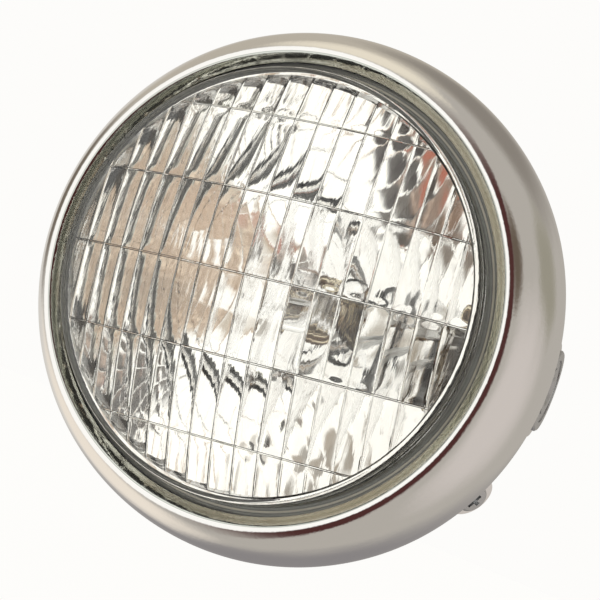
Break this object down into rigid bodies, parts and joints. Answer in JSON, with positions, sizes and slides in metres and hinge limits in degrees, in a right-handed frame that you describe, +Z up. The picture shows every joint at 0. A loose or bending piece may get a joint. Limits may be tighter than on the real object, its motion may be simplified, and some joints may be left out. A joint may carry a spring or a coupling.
{
  "type": "round motorcycle headlight",
  "caption": "Round motorcycle headlight: fluted glass lens and mirror bowl in a chromed rim and domed bucket, hung on threaded side bushes with a grommet at the back.",
  "frame": {"origin": "on the lamp's axis, level with the two side bolts, which is also the centre of the lamp's box", "axes": "+Z up, -Y out of the lens, +X towards the bush at the right of someone who looks at the lens"},
  "size_m": [0.2, 0.162, 0.2],
  "materials": {
    "chrome": "bright chrome plate",
    "plated_steel": "plated sheet steel",
    "zinc": "zinc plate",
    "black_rubber": "moulded rubber",
    "grey_rubber": "cork and rubber seal",
    "lens_glass": "clear pressed glass",
    "bulb_glass": "clear blown glass",
    "mirror": "vacuum-plated mirror",
    "filament": "drawn wire",
    "brass": "bright brass",
    "insulator": "brown moulded resin"
  },
  "bodies": {
    "root": {"rim": "chrome", "rim_hook": "plated_steel", "rim_ears": "plated_steel", "rim_screws": "zinc", "rim_nuts": "zinc", "ring_lugs": "plated_steel", "unit_ring": "plated_steel", "ring_screws": "zinc", "rim_gasket": "black_rubber", "lens": "lens_glass", "lens_seal": "grey_rubber", "reflector": "mirror", "bulb_glass": "bulb_glass", "bulb_filaments": "filament", "bulb_shield": "plated_steel", "bulb_base": "brass", "bulb_holder": "plated_steel", "contact_plate": "insulator", "bulb_contacts": "brass", "bulb_boot": "black_rubber", "shell": "chrome", "side_bush_right": "zinc", "side_bush_left": "zinc", "bush_washers": "zinc", "bush_nuts": "zinc", "wire_grommet": "black_rubber"}
  },
  "joints": []
}
